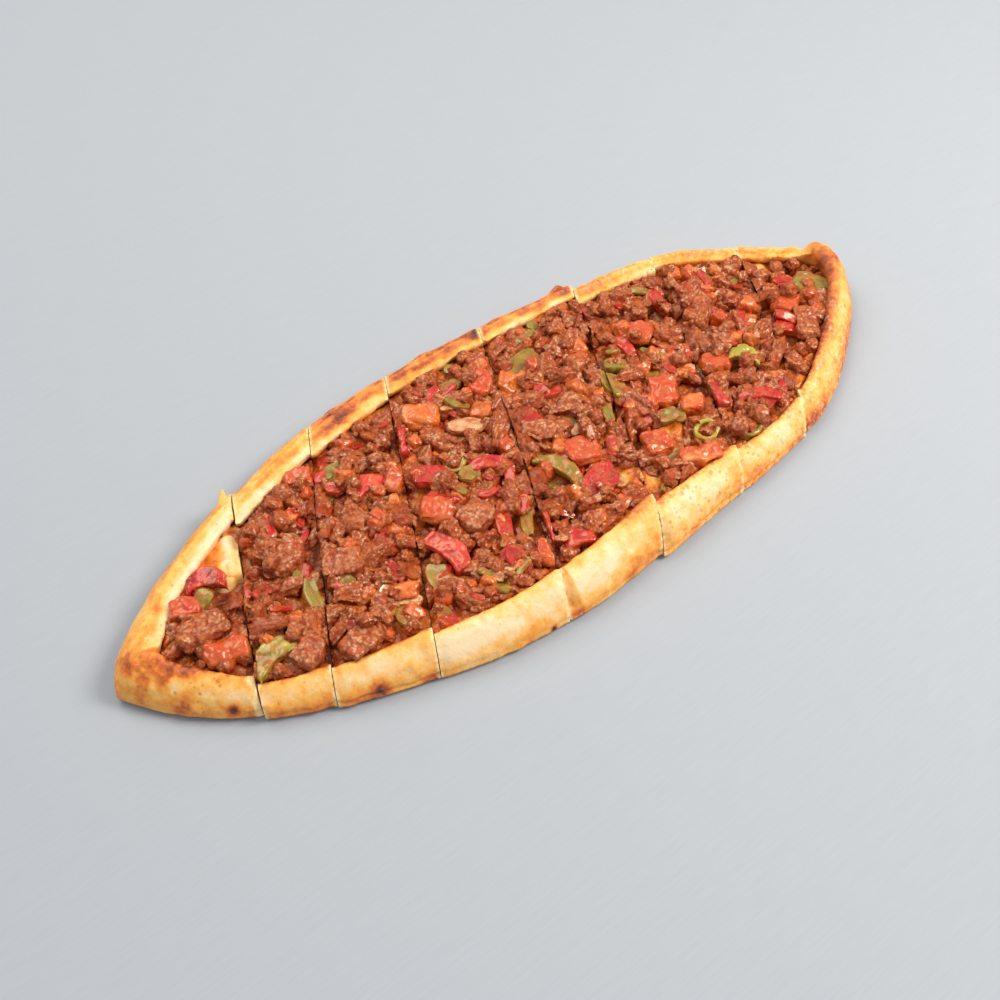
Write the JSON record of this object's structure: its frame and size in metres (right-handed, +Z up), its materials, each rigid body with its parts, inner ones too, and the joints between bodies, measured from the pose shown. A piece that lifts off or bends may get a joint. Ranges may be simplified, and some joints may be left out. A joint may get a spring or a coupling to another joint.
{
  "type": "turkish pide",
  "caption": "Long boat-shaped flatbread with folded walls round a topping of diced meat, tomato and peppers, cut on the slant into slices that still lie together.",
  "frame": {"origin": "under the middle of the boat's bounding box, on the surface it rests on", "axes": "+X along the boat to its pinched tip, +Y across it to the rolled back wall, +Z up"},
  "size_m": [0.4207, 0.1679, 0.0252],
  "materials": {
    "crust": "matte",
    "topping": "satin",
    "meat": "satin",
    "tomato": "gloss",
    "red_pepper": "gloss",
    "green_pepper": "gloss"
  },
  "bodies": {
    "root": {"dough_slice_1": "crust", "dough_slice_2": "crust", "dough_slice_3": "crust", "dough_slice_4": "crust", "dough_slice_5": "crust", "dough_slice_6": "crust", "dough_slice_7": "crust", "dough_slice_8": "crust", "green_pepper_01": "green_pepper", "green_pepper_02": "green_pepper", "green_pepper_03": "green_pepper", "green_pepper_04": "green_pepper", "green_ring_01": "green_pepper", "green_ring_02": "green_pepper", "green_ring_03": "green_pepper", "meat_01": "meat", "meat_02": "meat", "meat_03": "meat", "meat_04": "meat", "meat_05": "meat", "meat_06": "meat", "meat_07": "meat", "meat_08": "meat", "red_pepper_01": "red_pepper", "red_pepper_02": "red_pepper", "red_pepper_03": "red_pepper", "red_pepper_04": "red_pepper", "red_pepper_05": "red_pepper", "red_pepper_06": "red_pepper", "red_pepper_07": "red_pepper", "red_pepper_08": "red_pepper", "red_pepper_09": "red_pepper", "red_pepper_10": "red_pepper", "red_pepper_11": "red_pepper", "red_pepper_12": "red_pepper", "tomato_01": "tomato", "tomato_02": "tomato", "tomato_03": "tomato", "tomato_04": "tomato", "tomato_05": "tomato", "tomato_06": "tomato", "tomato_07": "tomato", "tomato_08": "tomato", "tomato_09": "tomato", "tomato_10": "tomato", "tomato_11": "tomato", "tomato_12": "tomato", "tomato_13": "tomato", "tomato_14": "tomato", "tomato_15": "tomato", "tomato_16": "tomato", "topping_heap_1": "topping", "topping_heap_2": "topping", "topping_heap_3": "topping", "topping_heap_4": "topping", "topping_heap_5": "topping", "topping_heap_6": "topping", "topping_heap_7": "topping", "topping_heap_8": "topping"}
  },
  "joints": []
}
